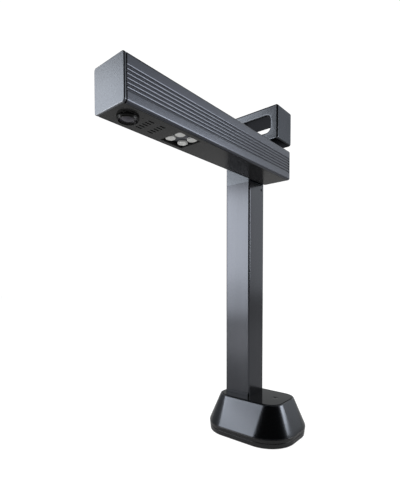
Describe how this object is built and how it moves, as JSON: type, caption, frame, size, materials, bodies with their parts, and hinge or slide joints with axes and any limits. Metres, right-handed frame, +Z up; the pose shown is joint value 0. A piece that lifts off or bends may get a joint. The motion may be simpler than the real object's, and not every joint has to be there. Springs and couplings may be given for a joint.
{
  "type": "document camera",
  "caption": "Desktop document camera: weighted base, square column, carry-handle head and a ribbed camera arm that folds down beside the column.",
  "frame": {"origin": "middle of the base's widest outline, on the desk plane that the rubber foot rests on", "axes": "+Z up; -Y forwards, the way the arm reaches over the page; +X towards the side of the column the arm lies on"},
  "size_m": [0.134, 0.3219, 0.4548],
  "materials": {
    "column_metal": "satin",
    "head_paint": "satin",
    "arm_metal": "satin",
    "tail_plastic": "satin",
    "cap_satin": "satin",
    "cover_gloss": "glossy",
    "plate_gloss": "glossy",
    "base_paint": "satin",
    "tray_black": "matte",
    "foot_rubber": "matte",
    "steel": "satin",
    "screw_steel": "satin",
    "brass_parts": "satin",
    "circuit_board": "satin",
    "lens_black": "matte",
    "lens_glass": "glossy",
    "lamp_white": "satin",
    "lamp_board_white": "satin",
    "cable_black": "matte",
    "bezel_black": "satin",
    "button_grey": "satin"
  },
  "bodies": {
    "stand": {"foot_ring": "foot_rubber", "base_tray": "tray_black", "ballast_plate": "steel", "base_shell": "base_paint", "base_top_plate": "plate_gloss", "tray_screws": "screw_steel", "column_foot": "steel", "foot_screws": "screw_steel", "base_board": "circuit_board", "usb_port": "steel", "button_board": "circuit_board", "column_tube": "column_metal", "column_screws": "screw_steel", "column_cable": "cable_black", "head_frame": "head_paint", "head_cover": "head_paint", "head_screws": "screw_steel", "outer_bush": "brass_parts", "inner_bush": "brass_parts"},
    "arm": {"hinge_shaft": "steel", "friction_discs": "steel", "hinge_nut": "screw_steel", "stop_pin": "screw_steel", "shaft_screws": "screw_steel", "arm_extrusion": "arm_metal", "arm_front_cap": "cap_satin", "arm_rear_cap": "tail_plastic", "arm_bottom_cover": "cover_gloss", "arm_spine": "steel", "lens_barrel": "lens_black", "lens_window": "lens_glass", "lens_holder": "lens_black", "camera_board": "circuit_board", "camera_posts": "brass_parts", "lamp_bezel": "bezel_black", "lamp_lenses": "lamp_white", "lamp_board": "lamp_board_white", "lamp_posts": "brass_parts", "microphone": "steel", "vent_mesh": "bezel_black", "main_board": "circuit_board", "board_posts": "brass_parts", "arm_cable": "cable_black"},
    "button": {"capture_button": "button_grey"}
  },
  "joints": [
    {"name": "arm_fold", "type": "hinge", "parent": "stand", "child": "arm", "pos_m": [-0.0021, 0.004, 0.381], "axis": [1, 0, 0], "range_deg": [0, 90]},
    {"name": "capture_press", "type": "slide", "parent": "stand", "child": "button", "axis": [0, 0, -1], "range_m": [0, 0.0006], "stiffness_N_per_m": 1500}
  ]
}
